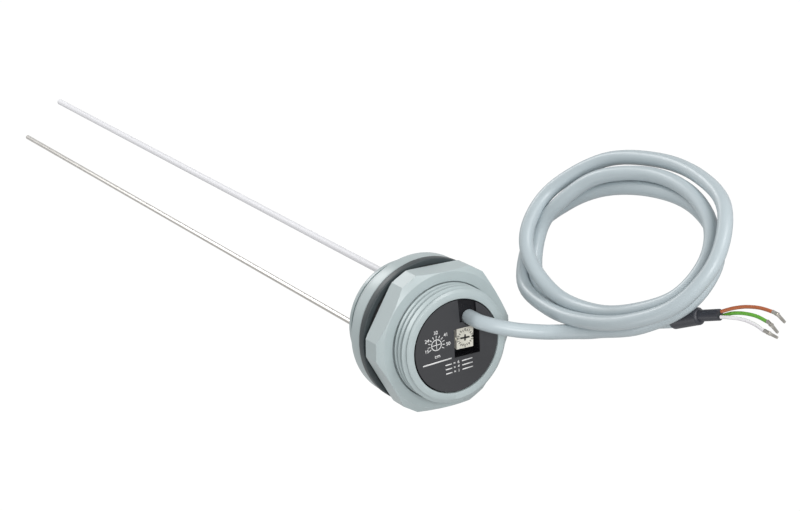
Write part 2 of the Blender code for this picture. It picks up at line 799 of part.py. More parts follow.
# Crimped pins on the wires: a wide grip and a thin tip, as one turned piece along the wire's end
def crimp_pin(name, points):
    first, middle, last = (Vector(point) * mm for point in points)
    grip = (middle - first).length
    length = grip + (last - middle).length
    thing = turned(
        name,
        [
            (0, 0),
            (0, FERRULE_RADIUS),
            (grip, FERRULE_RADIUS),
            (grip + 0.5 * mm, TIP_RADIUS),
            (length - 0.5 * mm, TIP_RADIUS),
            (length, TIP_RADIUS / 2),
            (length, 0),
        ],
        tinned_metal,
        steps=12,
        closed=False,
        parent=floor,
    )
    thing.location = first
    thing.rotation_euler = (last - first).to_track_quat("X", "Z").to_euler()


for name, (colour, points, tip) in WIRES.items():
    crimp_pin(f"pin_{name}", tip)
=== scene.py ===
"""Looks of a tank level electrode that lies on a white table, with its cable coiled beside the head.

Metres, +Z up. Places on the head are given in its own frame: X along its axis from the label's face,
positive outwards, Y sideways and Z up across the face.
"""

import math

import bmesh
import bpy
from mathutils import Matrix, Vector
from mathutils.geometry import interpolate_bezier


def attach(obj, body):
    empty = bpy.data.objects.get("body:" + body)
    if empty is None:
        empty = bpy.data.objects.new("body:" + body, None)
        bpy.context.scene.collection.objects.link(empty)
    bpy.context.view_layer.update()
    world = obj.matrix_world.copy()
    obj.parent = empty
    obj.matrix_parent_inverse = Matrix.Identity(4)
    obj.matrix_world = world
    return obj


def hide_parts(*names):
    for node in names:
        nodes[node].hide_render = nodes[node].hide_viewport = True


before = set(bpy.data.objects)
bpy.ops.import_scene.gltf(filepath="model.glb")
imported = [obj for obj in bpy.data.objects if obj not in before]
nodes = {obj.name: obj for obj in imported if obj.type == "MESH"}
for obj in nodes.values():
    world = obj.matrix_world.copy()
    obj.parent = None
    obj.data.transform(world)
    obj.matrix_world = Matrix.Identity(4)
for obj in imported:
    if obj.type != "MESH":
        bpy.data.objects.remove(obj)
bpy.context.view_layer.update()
mm = 0.001

# The head lies tilted on its flange and its lower rod
TILT = math.radians(3.6563)
LABEL_X = 180.459 * mm
LABEL_HEIGHT = 28.014 * mm
HEAD = Matrix.Translation((LABEL_X, 0, LABEL_HEIGHT)) @ Matrix.Rotation(-TILT, 4, "Y")
UNDER_LABEL = Vector((LABEL_X, 0, 0))

# Sizes of the cable. The sleeve's far end is shrunk to this share of its radius
CABLE_RADIUS = 2.6 * mm
SLEEVE_RADIUS = 2.95 * mm
SLEEVE_SHRUNK = 0.72
CUFF_RADIUS = 1.95 * mm
WIRE_RADIUS = 0.62 * mm


# Camera, where the photograph was taken from

camera = bpy.data.objects.new("camera", bpy.data.cameras.new("camera"))
camera.location = (0.80952, 0.04375, 0.57372)
camera.rotation_euler = [math.radians(angle) for angle in (26.324, 45.638, 36.756)]
camera.data.lens = 108.56
camera.data.sensor_width = 36
camera.data.clip_start = 0.05
bpy.context.scene.collection.objects.link(camera)
bpy.context.scene.camera = camera


# Materials


class Value:
    """An output in a material, on which Python's operators add Math nodes."""

    def __init__(self, look, socket):
        self.look = look
        self.socket = socket

    def _math(self, operation, first, second):
        return self.look.node("ShaderNodeMath", {"operation": operation}, {0: first, 1: second})

    def __add__(self, other):
        return self._math("ADD", self, other)

    __radd__ = __add__

    def __mul__(self, other):
        return self._math("MULTIPLY", self, other)


# Sockets of the Mix node when it mixes colours
MIX_FACTOR, MIX_FIRST, MIX_SECOND = 0, 6, 7
MIX_RESULT = 2


class Look:
    """A Principled material, and the nodes that feed it."""

    def __init__(self, name, colour, roughness, metallic=0.0, **more):
        self.material = bpy.data.materials.new(name)
        self.material.use_nodes = True
        self.tree = self.material.node_tree
        self.shader = self.tree.nodes["Principled BSDF"]
        self.set(base_color=(*colour, 1), roughness=roughness, metallic=metallic, **more)

    def set(self, **values):
        for name, value in values.items():
            self.feed(self.shader.inputs[name.replace("_", " ").title().replace("Ior", "IOR")], value)

    def feed(self, socket, value):
        if isinstance(value, Value):
            self.tree.links.new(value.socket, socket)
        else:
            socket.default_value = value

    def node(self, kind, settings, inputs, output=0):
        made = self.tree.nodes.new(kind)
        for name, value in settings.items():
            setattr(made, name, value)
        for name, value in inputs.items():
            self.feed(made.inputs[name], value)
        return Value(self, made.outputs[output])

    def place(self, stretch=(1, 1, 1), turn=(0, 0, 0)):
        """Object coordinates for a pattern that is turned, and then stretched along its own axes."""
        raw = self.node("ShaderNodeTexCoord", {}, {}, "Object")
        inputs = {"Vector": raw, "Scale": stretch, "Rotation": turn}
        return self.node("ShaderNodeMapping", {"vector_type": "TEXTURE"}, inputs)

    def noise(self, size, where=None, detail=3.0):
        """Noise from 0 to 1 with spots of about this size."""
        inputs = {"Vector": where or self.place(), "Scale": 1 / size, "Detail": detail}
        return self.node("ShaderNodeTexNoise", {}, inputs)

    def mix(self, mask, first, second):
        """A colour between two others, by a mask from 0 to 1."""
        inputs = {MIX_FACTOR: mask, MIX_FIRST: (*first, 1), MIX_SECOND: (*second, 1)}
        return self.node("ShaderNodeMix", {"data_type": "RGBA"}, inputs, MIX_RESULT)

    def bump(self, height, distance, strength=1.0):
        inputs = {"Height": height, "Distance": distance, "Strength": strength}
        self.set(normal=self.node("ShaderNodeBump", {}, inputs))


def shade(colour, factor):
    return tuple(min(1.0, part * factor) for part in colour)


def moulded(name, colour, roughness=0.42, grain=0.12 * mm, variation=0.05, depth=0.004 * mm):
    """Satin moulded plastic: a fine grain, and a slow drift of tone and gloss."""
    look = Look(name, colour, roughness)
    drift = look.noise(9 * mm)
    look.set(base_color=look.mix(drift, shade(colour, 1 - variation), shade(colour, 1 + variation)))
    look.set(roughness=roughness - 0.06 + drift * 0.12)
    look.bump(look.noise(grain, detail=2.0), depth, 0.6)
    return look


def rubber(name, colour):
    """Matt moulded rubber with a little dust on it."""
    look = Look(name, colour, 0.44)
    dust = look.noise(2.5 * mm, detail=5.0)
    look.set(base_color=look.mix(dust, shade(colour, 0.8), shade(colour, 1.25)))
    look.set(roughness=0.34 + dust * 0.2)
    look.bump(look.noise(0.25 * mm), 0.02 * mm, 0.6)
    return look


# The fine lines on drawn metal are spots stretched this much along it
LINES_STRETCH = (200, 1, 1)


def drawn_metal(name, colour, roughness, along=(0, 0, 0), depth=0.004 * mm):
    """Metal with fine lines along X, turned by these angles, and slow changes of gloss."""
    look = Look(name, colour, roughness, 1.0)
    lines = look.noise(0.08 * mm, look.place(LINES_STRETCH, along), 2.0)
    clouds = look.noise(6 * mm)
    look.set(base_color=look.mix(clouds, shade(colour, 0.9), shade(colour, 1.08)))
    look.set(roughness=roughness - 0.05 + clouds * 0.1 + lines * 0.06)
    look.bump(lines, depth, 0.5)
    return look


def insulation(name, colour):
    """A wire's thin, fairly glossy insulation."""
    look = Look(name, colour, 0.32)
    tone = look.noise(1.5 * mm)
    look.set(base_color=look.mix(tone, shade(colour, 0.88), shade(colour, 1.1)))
    look.set(roughness=0.26 + tone * 0.14)
    look.bump(look.noise(0.4 * mm), 0.01 * mm, 0.4)
    return look


BODY_GREY = (0.430, 0.498, 0.506)
JACKET_GREY = (0.462, 0.530, 0.560)
body_plastic = moulded("body_plastic", BODY_GREY, 0.32)
gasket_rubber = rubber("gasket_rubber", (0.040, 0.052, 0.056))
ring_rubber = rubber("ring_rubber", (0.022, 0.022, 0.022))
label_film = moulded("label_film", (0.036, 0.037, 0.041), 0.42, 0.3 * mm, 0.03)
label_ink = moulded("label_ink", (0.80, 0.80, 0.80), 0.45, 0.2 * mm, 0.02)
switch_plastic = moulded("switch_plastic", (0.79, 0.77, 0.68), 0.5, 0.2 * mm, 0.08)
switch_ink_and_painted_shade = moulded("switch_ink_and_painted_shade", (0.020, 0.018, 0.016), 0.5, 0.2 * mm, 0.05)
bush_plastic = moulded("bush_plastic", (0.70, 0.70, 0.66), 0.45)
rod_steel = drawn_metal("rod_steel", (0.70, 0.68, 0.65), 0.22, (0, -TILT, 0), 0.001 * mm)
tinned_metal = drawn_metal("tinned_metal", (0.56, 0.54, 0.50), 0.3)
board_laminate = moulded("board_laminate", (0.03, 0.20, 0.08), 0.35)
component_black = moulded("component_black", (0.02, 0.02, 0.02), 0.5)
component_can = drawn_metal("component_can", (0.55, 0.56, 0.58), 0.3)
white_sheath = moulded("white_sheath", (0.81, 0.81, 0.84), 0.5, 4 * mm, 0.02, 0.002 * mm)
sleeve_plastic = moulded("sleeve_plastic", (0.034, 0.036, 0.046), 0.42, 0.5 * mm, 0.12, 0.02 * mm)
wire_looks = {
    "brown": insulation("wire_brown", (0.46, 0.125, 0.045)),
    "green": insulation("wire_green", (0.13, 0.42, 0.04)),
    "white": insulation("wire_white", (0.85, 0.83, 0.86)),
}


def resin():
    """Poured black resin: glossy, with a slow swell and small pits in its surface."""
    look = Look("potting_resin", (0.010, 0.010, 0.012), 0.12, ior=1.3)
    swell = look.noise(2.2 * mm)
    pits = look.noise(0.5 * mm, detail=4.0)
    look.set(roughness=0.08 + pits * 0.14)
    look.bump(swell * 0.8 + pits * 0.2, 0.5 * mm, 0.8)
    return look


def jacket():
    """Soft cable jacket, slightly uneven and scuffed."""
    look = Look("cable_jacket", JACKET_GREY, 0.33)
    tone = look.noise(14 * mm)
    scuffs = look.noise(1.2 * mm, detail=6.0)
    look.set(base_color=look.mix(tone, shade(JACKET_GREY, 0.95), shade(JACKET_GREY, 1.05)))
    look.set(roughness=0.26 + scuffs * 0.14)
    look.bump(look.noise(3.0 * mm) * 0.8 + scuffs * 0.2, 0.06 * mm, 0.5)
    return look


potting_resin = resin()
cable_jacket = jacket()


# Cable route. Its points are in millimetres, from the floor below the middle of the label

CABLE_AT = (11.1 * mm, 0.1 * mm)
CABLE_POCKET = 2.7 * mm
CABLE_EXIT = 0.3 * mm
CABLE_STRAIGHT = 3.3 * mm
LEAD_POINTS = [
    (6.2, 11.2, 28.2),
    (9.5, 11.8, 26.1),
    (12.4, 12.8, 22.8),
    (15.1, 14.1, 18.9),
    (17.8, 15.8, 15.0),
    (20.7, 17.6, 11.6),
    (23.6, 19.4, 9.2),
    (28.7, 22.0, 6.9),
    (33.6, 23.9, 6.2),
    (39.1, 26.1, 6.3),
]

# The coil's turns follow one oval. For each twelfth of a turn there is how far outside the oval the
# cable lies, and how high its middle is, as the turns pass over and under each other
COIL_MIDDLE = (31.0, 55.0)
COIL_AXES = (44.5, 28.0)
COIL_TURN = math.radians(9.0)
COIL_START = -60
TURN_STEP = 30
OFFSETS = [1.5, 1.5, -3, -4, -5, -6, -5, -2.5, 4, 7, 2.5, 0.5]
OFFSETS += [1.5, 4, 5.5, 6.5, 4.5, 4.5, 5.5, 2, -2.5, -3, -3, -4]
OFFSETS += [-3, -0.5, -2, -1.5, -1.5, -1.5, -2.5, -5, -2.5, 2, 0, -3.5]
HEIGHTS = [8, 7.5, 3, 2.6, 2.6, 2.6, 2.6, 2.6, 2.6, 4, 7.5, 11]
HEIGHTS += [14, 14, 12.5, 9.5, 5.5, 3, 4, 8.5, 12, 11, 7.5, 8]
HEIGHTS += [11.5, 12, 9, 7.5, 6.5, 5.5, 7.5, 8, 6, 2.6, 2.6, 2.6]
TAIL_POINTS = [(45.5, 33.5, 2.65), (55.1, 36.1, 2.75), (65.3, 39.7, 3.1)]

# Short stretches of a path between each two of its points, and how finely a tube is rounded
PATH_STEPS = 8
TUBE_ROUNDNESS = 6


def smooth_path(points):
    """A curve through all the points. At each it runs parallel to the line between its neighbours."""
    path = []
    for i in range(len(points) - 1):
        start, end = points[i], points[i + 1]
        before = points[max(i - 1, 0)]
        after = points[min(i + 2, len(points) - 1)]
        leave = start + (end - before) / 6
        arrive = end - (after - start) / 6
        path += interpolate_bezier(start, leave, arrive, end, PATH_STEPS + 1)[:-1]
    return [*path, points[-1]]


def on_cable_axis(along):
    """A point on the line on which the cable leaves the face."""
    return HEAD @ Vector((along, *CABLE_AT))


def on_floor(point):
    """A point of the cable's route, which is given in millimetres."""
    return UNDER_LABEL + Vector(point) * mm


def coil_points():
    points = []
    long, short = COIL_AXES
    for k, (offset, height) in enumerate(zip(OFFSETS, HEIGHTS)):
        angle = math.radians(COIL_START + k * TURN_STEP)
        outward = Vector((short * math.cos(angle), long * math.sin(angle))).normalized()
        flat = Vector((long * math.cos(angle), short * math.sin(angle))) + outward * offset
        flat.rotate(Matrix.Rotation(COIL_TURN, 2))
        points.append(on_floor((COIL_MIDDLE[0] + flat.x, COIL_MIDDLE[1] + flat.y, height)))
    return points


def tube(name, path, radius, look, end=1.0):
    """A round piece along a path. Its far end has this share of the radius."""
    curve = bpy.data.curves.new(name, "CURVE")
    curve.dimensions = "3D"
    curve.bevel_depth = radius
    curve.bevel_resolution = TUBE_ROUNDNESS
    curve.use_fill_caps = True
    spline = curve.splines.new("POLY")
    spline.points.add(len(path) - 1)
    for point, given in zip(spline.points, path):
        point.co = (*given, 1)
    spline.points[-1].radius = end
    spline.use_smooth = True
    made = bpy.data.objects.new(name, curve)
    bpy.context.scene.collection.objects.link(made)
    curve.materials.append(look.material)
    return made


lead = [on_cable_axis(along) for along in (-CABLE_POCKET, CABLE_EXIT, CABLE_STRAIGHT)]
lead += [on_floor(point) for point in LEAD_POINTS]
tail = [on_floor(point) for point in TAIL_POINTS]
cable_path = smooth_path([*lead, *coil_points(), *tail])
for point in cable_path:
    point.z = max(point.z, CABLE_RADIUS)
cable = tube("cable", cable_path, CABLE_RADIUS, cable_jacket)


# Shapes

# Points nearer than this are one
SAME_POINT = 0.0005 * mm
# Steps of a full turn, and the share of a profile's side that a rounded corner may take
TURNED_STEPS = 144
CORNER_SHARE = 0.45
# How far a rounded corner's handles reach towards the sharp corner
CORNER_PULL = 0.6


def make(name, bm, look, body="head", at=HEAD, node=None, slot=None, sharp=32):
    """A finished piece from a bmesh, that rides on a body and may stand for a node."""
    bmesh.ops.remove_doubles(bm, verts=bm.verts, dist=SAME_POINT)
    bmesh.ops.recalc_face_normals(bm, faces=bm.faces)
    mesh = bpy.data.meshes.new(name)
    bm.to_mesh(mesh)
    bm.free()
    mesh.transform(at)
    mesh.shade_smooth()
    mesh.set_sharp_from_angle(angle=math.radians(sharp))
    mesh.materials.append(look.material)
    made = bpy.data.objects.new(name, mesh)
    bpy.context.scene.collection.objects.link(made)
    if body:
        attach(made, body)
    if node:
        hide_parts(node)
    return made


def rounded(points, radius, closed=True, steps=4):
    """A profile with its corners rounded."""
    count = len(points)
    result = []
    for i, point in enumerate(points):
        corner = Vector((*point, 0))
        if not closed and i in (0, count - 1):
            result.append(corner)
            continue
        before = Vector((*points[i - 1], 0)) - corner
        after = Vector((*points[(i + 1) % count], 0)) - corner
        cut = min(radius, before.length * CORNER_SHARE, after.length * CORNER_SHARE)
        start = corner + before.normalized() * cut
        end = corner + after.normalized() * cut
        leave = start.lerp(corner, CORNER_PULL)
        arrive = end.lerp(corner, CORNER_PULL)
        result += interpolate_bezier(start, leave, arrive, end, steps)
    return [(point.x, point.y) for point in result]


def turned(profile, steps=TURNED_STEPS, closed=True, middle=(0, 0)):
    """A bmesh of (along, radius) points spun round an axis that lies along the head's axis."""
    bm = bmesh.new()
    start = Vector((0, *middle))
    verts = [bm.verts.new(start + Vector((along, 0, radius))) for along, radius in profile]
    pairs = list(zip(verts, verts[1:]))
    if closed:
        pairs.append((verts[-1], verts[0]))
    edges = [bm.edges.new(pair) for pair in pairs]
    bmesh.ops.spin(
        bm,
        geom=[*verts, *edges],
        cent=start,
        axis=(1, 0, 0),
        angle=math.tau,
        steps=steps,
        use_merge=True,
    )
    bmesh.ops.remove_doubles(bm, verts=bm.verts, dist=SAME_POINT)
    return bm


# Housing

THREAD_RADIUS = 20.955 * mm
THREAD_PITCH = 2.309 * mm
THREAD_DEPTH = 1.479 * mm
ROOT_RADIUS = THREAD_RADIUS - THREAD_DEPTH
FRONT = 0.3 * mm
FLANGE_RADIUS = 26.355 * mm
FLANGE_FRONT = -21.45 * mm
FLANGE_BACK = -27.25 * mm
NECK = FLANGE_FRONT + 0.9 * mm
BORE_RADIUS = 17.15 * mm
FLANGE_EDGE = 0.45 * mm
RIM_EDGE = 0.2 * mm
HOUSING_STEPS = 192
POINTS_PER_PITCH = 12

# A ridge's height, in thread depths: this much at its crest, less the fall for each pitch away from it,
# cut off at 1 and at 0
CREST_HEIGHT = 1.25
CREST_FALL = 3

# The thread's slope at its front chamfer, and how much steeper it ends at the neck
CHAMFER_SLOPE = 1.25
NECK_STEEPNESS = 2


def housing():
    """The thread is a row of ridges, spun once while it moves on by a pitch. The rest is turned."""
    turns = math.ceil((FRONT - NECK) / THREAD_PITCH) + 2
    bm = bmesh.new()
    row = []
    for k in range(turns * POINTS_PER_PITCH + 1):
        phase = k / POINTS_PER_PITCH
        from_crest = abs(phase - round(phase))
        height = THREAD_DEPTH * min(1.0, max(0.0, CREST_HEIGHT - CREST_FALL * from_crest))
        along = FRONT + THREAD_PITCH * (1 - phase)
        row.append(bm.verts.new((along, 0, ROOT_RADIUS + height)))
    line = [bm.edges.new(pair) for pair in zip(row, row[1:])]
    bmesh.ops.spin(
        bm,
        geom=[*row, *line],
        cent=(0, 0, 0),
        axis=(1, 0, 0),
        dvec=(THREAD_PITCH / HOUSING_STEPS, 0, 0),
        angle=math.tau,
        steps=HOUSING_STEPS,
    )
    for vert in bm.verts:
        radial = Vector((0, vert.co.y, vert.co.z))
        along = min(max(vert.co.x, NECK), FRONT)
        from_end = min(FRONT - along, (along - NECK) * NECK_STEEPNESS)
        limit = ROOT_RADIUS + max(0.0, from_end) * CHAMFER_SLOPE
        radius = min(radial.length, limit)
        vert.co = radial.normalized() * radius + Vector((along, 0, 0))
    flange = rounded(
        [
            (FLANGE_FRONT, ROOT_RADIUS),
            (FLANGE_FRONT, FLANGE_RADIUS),
            (FLANGE_BACK, FLANGE_RADIUS),
            (FLANGE_BACK, BORE_RADIUS),
        ],
        FLANGE_EDGE,
        closed=False,
        steps=6,
    )
    lip = [(FRONT - mm, BORE_RADIUS), (FRONT, BORE_RADIUS), (FRONT, ROOT_RADIUS)]
    lip = rounded(lip, RIM_EDGE, closed=False)
    rest = turned([(NECK, ROOT_RADIUS), *flange, *lip], HOUSING_STEPS, closed=False)
    spare = bpy.data.meshes.new("spare")
    rest.to_mesh(spare)
    rest.free()
    bm.from_mesh(spare)
    bpy.data.meshes.remove(spare)
    make("housing_shell", bm, body_plastic, node="housing", slot="body_plastic", sharp=50)


housing()


# Gaskets

GASKET_BORE = 21.26 * mm
GASKET_EDGE = 0.35 * mm


def gasket(back, front, radius):
    """A bmesh of a flat ring with eased edges."""
    corners = [(back, GASKET_BORE), (back, radius), (front, radius), (front, GASKET_BORE)]
    return turned(rounded(corners, GASKET_EDGE))


on_flange = gasket(-21.15 * mm, -18.2 * mm, 26.655 * mm)
make("flange_gasket_rubber", on_flange, gasket_rubber, node="flange_gasket", slot="gasket_rubber")
slips = gasket(-17.9 * mm, -16.1 * mm, 24.8 * mm)
make("slip_ring_rubber", slips, ring_rubber, "slip_ring", node="slip_ring", slot="gasket_rubber")


# Lock nut

NUT_BACK = -15.8 * mm
NUT_FRONT = -7.1 * mm
NUT_FLAT = 25.105 * mm
NUT_CORNER = 1.0876 * NUT_FLAT
NUT_FACE_RADIUS = 24.905 * mm
NUT_BORE = 21.155 * mm
NUT_SLOPE = 1.5 / 2.4
NUT_BACK_CHAMFER = 0.7 * mm
NUT_BACK_COUNTERSINK = 0.6 * mm
NUT_FRONT_COUNTERSINK = 0.3 * mm
NUT_EDGE = 0.28 * mm
# Edges between faces that turn by more than this are eased
NUT_EASED_FROM = math.radians(16)
# How far the two shapes that make the nut stand out past each other
NUT_SPARE = 2 * mm


def lock_nut():
    """What a hexagon with cut corners and a turned ring have in common, with its edges eased."""
    bm = bmesh.new()
    bmesh.ops.create_cone(
        bm,
        cap_ends=True,
        segments=12,
        radius1=NUT_CORNER,
        radius2=NUT_CORNER,
        depth=NUT_FRONT - NUT_BACK + 2 * NUT_SPARE,
    )
    half_facet = math.radians(30) - math.acos(NUT_FLAT / NUT_CORNER)
    for vert in bm.verts:
        corner, side = divmod(round(math.degrees(math.atan2(vert.co.y, vert.co.x)) / 30), 2)
        angle = corner * math.radians(60) + (2 * side - 1) * half_facet
        across = NUT_CORNER * Vector((math.cos(angle), math.sin(angle)))
        vert.co = (vert.co.z + (NUT_BACK + NUT_FRONT) / 2, *across)
    outside = make("lock_nut_blank", bm, body_plastic, None)
    wide = NUT_CORNER + NUT_SPARE
    drop = NUT_SLOPE * (wide - NUT_FACE_RADIUS)
    ring = turned(
        [
            (NUT_BACK, NUT_BORE + NUT_BACK_COUNTERSINK),
            (NUT_BACK, NUT_CORNER - NUT_BACK_CHAMFER),
            (NUT_BACK + mm, wide),
            (NUT_FRONT - drop, wide),
            (NUT_FRONT, NUT_FACE_RADIUS),
            (NUT_FRONT, NUT_BORE + NUT_FRONT_COUNTERSINK),
            (NUT_FRONT - NUT_FRONT_COUNTERSINK, NUT_BORE),
            (NUT_BACK + NUT_BACK_COUNTERSINK, NUT_BORE),
        ]
    )
    shape = make("lock_nut_shape", ring, body_plastic, None)
    common = outside.modifiers.new("shape", "BOOLEAN")
    common.object = shape
    common.operation = "INTERSECT"
    common.solver = "EXACT"
    bpy.context.view_layer.update()
    graph = bpy.context.evaluated_depsgraph_get()
    solid = bmesh.new()
    solid.from_mesh(outside.evaluated_get(graph).to_mesh())
    for used in (outside, shape):
        bpy.data.objects.remove(used, do_unlink=True)
    bmesh.ops.remove_doubles(solid, verts=solid.verts, dist=0.002 * mm)
    bmesh.ops.dissolve_limit(solid, angle_limit=0.01, verts=solid.verts, edges=solid.edges)
    folds = [edge for edge in solid.edges if edge.is_manifold]
    bmesh.ops.bevel(
        solid,
        geom=[edge for edge in folds if edge.calc_face_angle() > NUT_EASED_FROM],
        offset=NUT_EDGE,
        segments=3,
        profile=0.5,
        affect="EDGES",
        clamp_overlap=True,
        material=-1,
    )
    where = {"body": "lock_nut", "at": Matrix(), "node": "lock_nut", "slot": "body_plastic"}
    nut = make("lock_nut_plastic", solid, body_plastic, **where, sharp=40)
    weighted = nut.modifiers.new("flat faces", "WEIGHTED_NORMAL")
    weighted.keep_sharp = True


lock_nut()


# Rear cap and rods

CAP_BACK = -37.4 * mm
CAP_FRONT = -27.55 * mm
CAP_RADIUS = 21.6 * mm
CAP_EDGE = 1.2 * mm
CAP_GROOVE_BACK = -35.2 * mm
CAP_GROOVE_FRONT = -34.5 * mm
CAP_GROOVE_RADIUS = CAP_RADIUS - 0.7 * mm
SPIGOT_RADIUS = 16.85 * mm
SPIGOT_FRONT = CAP_FRONT + 3.1 * mm
HOLLOW_RADIUS = 15.65 * mm
HOLLOW_BACK = CAP_BACK + 5.9 * mm

cap_edge = [(CAP_BACK, 0), (CAP_BACK, CAP_RADIUS), (CAP_GROOVE_BACK, CAP_RADIUS)]
cap_profile = [
    *rounded(cap_edge, CAP_EDGE, closed=False, steps=8),
    (CAP_GROOVE_BACK, CAP_GROOVE_RADIUS),
    (CAP_GROOVE_FRONT, CAP_GROOVE_RADIUS),
    (CAP_GROOVE_FRONT, CAP_RADIUS),
    (CAP_FRONT, CAP_RADIUS),
    (CAP_FRONT, SPIGOT_RADIUS),
    (SPIGOT_FRONT, SPIGOT_RADIUS),
    (SPIGOT_FRONT, HOLLOW_RADIUS),
    (HOLLOW_BACK, HOLLOW_RADIUS),
    (HOLLOW_BACK, 0),
]
rear_cap = turned(cap_profile, closed=False)
make("rear_cap_plastic", rear_cap, body_plastic, node="rear_cap", slot="body_plastic")

# The rods stand either side of the head's axis, and their tips are equally far back
ROD_ASIDE = 10.577 * mm
ROD_RAISED = 3.683 * mm
ROD_TIP = -362.9 * mm
ROD_STEPS = 32


def rod(radius, front, edge, at):
    """A bmesh of a round bar with eased ends, from the rods' tip to its front."""
    profile = [(ROD_TIP, 0), (ROD_TIP, radius), (front, radius), (front, 0)]
    profile = rounded(profile, edge, closed=False, steps=6)
    return turned(profile, ROD_STEPS, closed=False, middle=at)


steel_bar = rod(1.0 * mm, -27.5 * mm, 0.3 * mm, (-ROD_ASIDE, ROD_RAISED))
make("steel_rod_bar", steel_bar, rod_steel, node="steel_rod", slot="bright_steel")
sheath_bar = rod(1.3 * mm, -29.1 * mm, 1.2 * mm, (ROD_ASIDE, -ROD_RAISED))
make("sheath_tube", sheath_bar, white_sheath, node="rod_sheath", slot="white_sheath")


# Face: nodes that keep their shape, in their own looks

KEPT = {
    "label": label_film,
    "potting": potting_resin,
    "switch_body": switch_plastic,
    "switch_rotor": switch_plastic,
    "circuit_board": board_laminate,
    "control_chip": component_black,
    "voltage_regulator": component_black,
    "filter_capacitor": component_can,
    "steel_rod_bush": bush_plastic,
    "sheath_rod_bush": bush_plastic,
    "steel_rod_seal": gasket_rubber,
    "sheath_rod_seal": gasket_rubber,
    "steel_rod_wire": tinned_metal,
    "sheath_rod_wire": tinned_metal,
    "sheathed_rod": rod_steel,
}
KEPT.update({f"switch_pin_{number}": tinned_metal for number in range(1, 5)})
KEPT.update({f"inner_wire_{name}": look for name, look in wire_looks.items()})
for name, look in KEPT.items():
    for slot in nodes[name].material_slots:
        slot.material = look.material


# Print on the label: a dial with its numbers, and plain rules for a wiring table

TEXT_TURN = math.radians(-56)
INK = 0.02 * mm
HOOP_STEPS = 48
# Letters' outlines are moved out by this share of their size, which makes them bolder
BOLDER = 0.02


def around(middle, distance, degrees):
    """A place at this distance from another, as (right, up)."""
    angle = math.radians(degrees)
    return middle[0] + distance * math.cos(angle), middle[1] + distance * math.sin(angle)


def text_place(right, up, height=INK, turn=TEXT_TURN, middle=(0, 0)):
    """Turns flat work with X to the right and Y up, in millimetres, into a place on the head's face."""
    facing = Matrix(((0, 0, 1, 0), (1, 0, 0, 0), (0, 1, 0, 0), (0, 0, 0, 1)))
    return (
        HEAD
        @ Matrix.Translation((height, *middle))
        @ Matrix.Rotation(turn, 4, "X")
        @ facing
        @ Matrix.Translation((right * mm, up * mm, 0))
    )


def placed_mesh(bm, place):
    """A bmesh as a mesh at its place."""
    bmesh.ops.transform(bm, matrix=place, verts=bm.verts)
    mesh = bpy.data.meshes.new("print")
    bm.to_mesh(mesh)
    bm.free()
    return mesh


def words(text, size, place):
    """A short text as a flat mesh, centred on its place."""
    curve = bpy.data.curves.new("words", "FONT")
    curve.body = text
    curve.size = size * mm
    curve.align_x = "CENTER"
    curve.align_y = "CENTER"
    curve.resolution_u = 3
    curve.offset = BOLDER * size * mm
    holder = bpy.data.objects.new("words", curve)
    bpy.context.scene.collection.objects.link(holder)
    bpy.context.view_layer.update()
    graph = bpy.context.evaluated_depsgraph_get()
    mesh = bpy.data.meshes.new_from_object(holder.evaluated_get(graph))
    bpy.data.objects.remove(holder, do_unlink=True)
    mesh.transform(place)
    return mesh


def bar(width, height, place, degrees=0):
    """A flat bar, turned on its place."""
    bm = bmesh.new()
    bmesh.ops.create_grid(bm, x_segments=1, y_segments=1, size=0.5)
    bmesh.ops.scale(bm, vec=(width * mm, height * mm, 1), verts=bm.verts)
    return placed_mesh(bm, place @ Matrix.Rotation(math.radians(degrees), 4, "Z"))


def hoop(radius, width, place):
    """A flat ring with this middle radius."""
    bm = bmesh.new()
    verts = [bm.verts.new((r * mm, 0, 0)) for r in (radius - width / 2, radius + width / 2)]
    edge = bm.edges.new(verts)
    bmesh.ops.spin(
        bm,
        geom=[*verts, edge],
        cent=(0, 0, 0),
        axis=(0, 0, 1),
        angle=math.tau,
        steps=HOOP_STEPS,
    )
    bmesh.ops.remove_doubles(bm, verts=bm.verts, dist=SAME_POINT)
    return placed_mesh(bm, place)


def joined(meshes):
    """One bmesh of several meshes, which are used up."""
    bm = bmesh.new()
    for mesh in meshes:
        bm.from_mesh(mesh)
        bpy.data.meshes.remove(mesh)
    return bm


def printed(name, meshes, look, body, slot):
    """Flat shapes joined to one piece and given the thickness of ink."""
    made = make(name, joined(meshes), look, body, Matrix(), slot=slot)
    solid = made.modifiers.new("ink", "SOLIDIFY")
    solid.thickness = INK
    solid.offset = 0


# Places, lengths and widths of what is printed are in millimetres, and angles in degrees
DIAL = (-7.9, 2.5)
DIAL_RING = (1.95, 0.28)
DIAL_NUMBERS = {"15": (200, 4.2), "24": (148, 4.3), "32": (89, 4.5), "41": (35, 4.9), "50": (-9, 4.8)}
DIAL_NUMBER_SIZE = 1.75
DIAL_CROSS = (3.5, 0.26)
DIAL_TICKS = range(208, -33, -24)
DIAL_TICK = (1.05, 0.26)
DIAL_TICK_DISTANCE = 2.95
UNIT_SIZE = 1.9
UNIT_AT = (-7.8, -1.7)
LONG_RULE = (11.6, 0.5)
LONG_RULE_AT = (-8.0, -3.9)

# The wiring table: the height and number of each row, and what stands in it from left to right
TABLE_ROWS = [(-6.0, "6"), (-7.6, "4"), (-9.2, "1")]
TABLE_SIZE = 1.5
TABLE_LEFT_RULE = (2.6, 0.42)
TABLE_LEFT_AT = -3.6
TABLE_EQUALS_AT = -1.2
TABLE_NUMBER_AT = 0.4
TABLE_RIGHT_RULE = (4.3, 0.42)
TABLE_RIGHT_AT = 4.0

